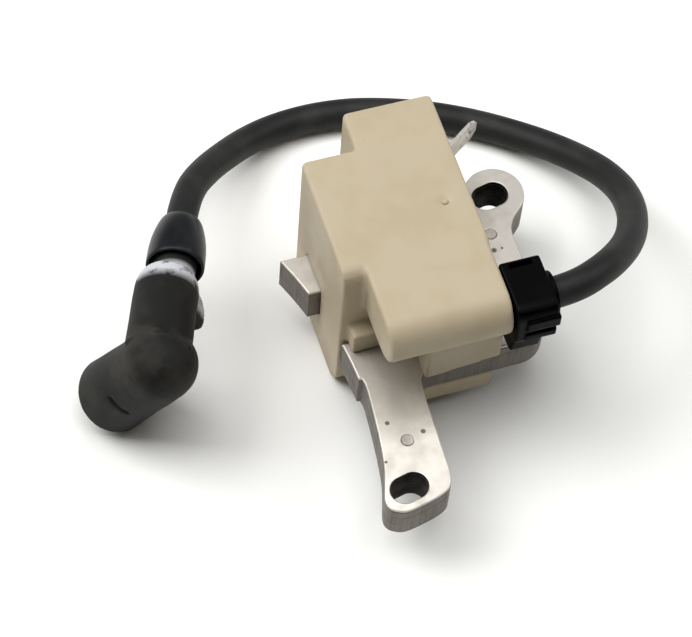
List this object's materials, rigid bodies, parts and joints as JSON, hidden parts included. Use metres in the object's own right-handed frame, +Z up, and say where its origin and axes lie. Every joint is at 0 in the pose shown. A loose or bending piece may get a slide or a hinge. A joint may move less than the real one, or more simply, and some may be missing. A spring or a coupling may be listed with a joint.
{
  "type": "ignition coil",
  "caption": "Potted ignition coil on a laminated steel core with slotted ears, a stop terminal, and a rubber lead that ends in an elbow plug boot.",
  "frame": {"origin": "middle of the module's base, under the housing", "axes": "+X from the pole faces to the yoke and the lead's exit, +Y from the front ear to the rear ear, +Z up from the potted base to the housing's top"},
  "size_m": [0.1347, 0.1173, 0.0447],
  "materials": {
    "core_steel": "dull, stamped laminations with brown shear marks",
    "pin_steel": "dull",
    "housing_plastic": "satin beige moulding",
    "potting_resin": "rough cast resin",
    "bobbin_plastic": "satin",
    "copper_wire": "enamelled copper wire",
    "board": "glass laminate",
    "capacitor_case": "glossy dip",
    "device_black": "moulded epoxy",
    "resistor_body": "lacquered",
    "tinned_steel": "tinned, slightly stained",
    "contact_brass": "plain",
    "seal_rubber": "matt",
    "retainer_plastic": "semi-gloss black nylon",
    "lead_rubber": "matt, lightly dusted",
    "boot_rubber": "weathered, brown dust and chalky bloom",
    "collar_rubber": "smooth, slight sheen"
  },
  "bodies": {
    "module": {"core_laminations_lower": "core_steel", "core_laminations_middle": "core_steel", "core_laminations_upper": "core_steel", "stack_pin_front": "pin_steel", "stack_pin_rear": "pin_steel", "housing_shell": "housing_plastic", "potting_fill": "potting_resin", "charge_bobbin": "bobbin_plastic", "charge_winding": "copper_wire", "primary_bobbin": "bobbin_plastic", "primary_winding": "copper_wire", "secondary_bobbin": "bobbin_plastic", "secondary_winding": "copper_wire", "circuit_board": "board", "storage_capacitor": "capacitor_case", "switching_thyristor": "device_black", "rectifier_diode": "device_black", "clamp_diode": "device_black", "gate_resistor": "resistor_body", "stop_terminal": "tinned_steel", "earth_strap": "contact_brass", "tower_contact": "contact_brass", "lead_seal": "seal_rubber", "lead_retainer": "retainer_plastic", "ht_lead": "lead_rubber"},
    "boot": {"plug_boot": "boot_rubber", "plug_clip": "tinned_steel", "lead_end_pin": "contact_brass"},
    "collar": {"boot_collar": "collar_rubber"}
  },
  "joints": [
    {"name": "boot_swivel", "type": "hinge", "parent": "module", "child": "boot", "pos_m": [-0.06283, 0.0028, 0.0257], "axis": [0.3741, 0.9164, -0.1421], "range_deg": [0, 110]},
    {"name": "collar_slide", "type": "slide", "parent": "module", "child": "collar", "axis": [0.3741, 0.9164, -0.1421], "range_m": [0, 0.004]}
  ]
}
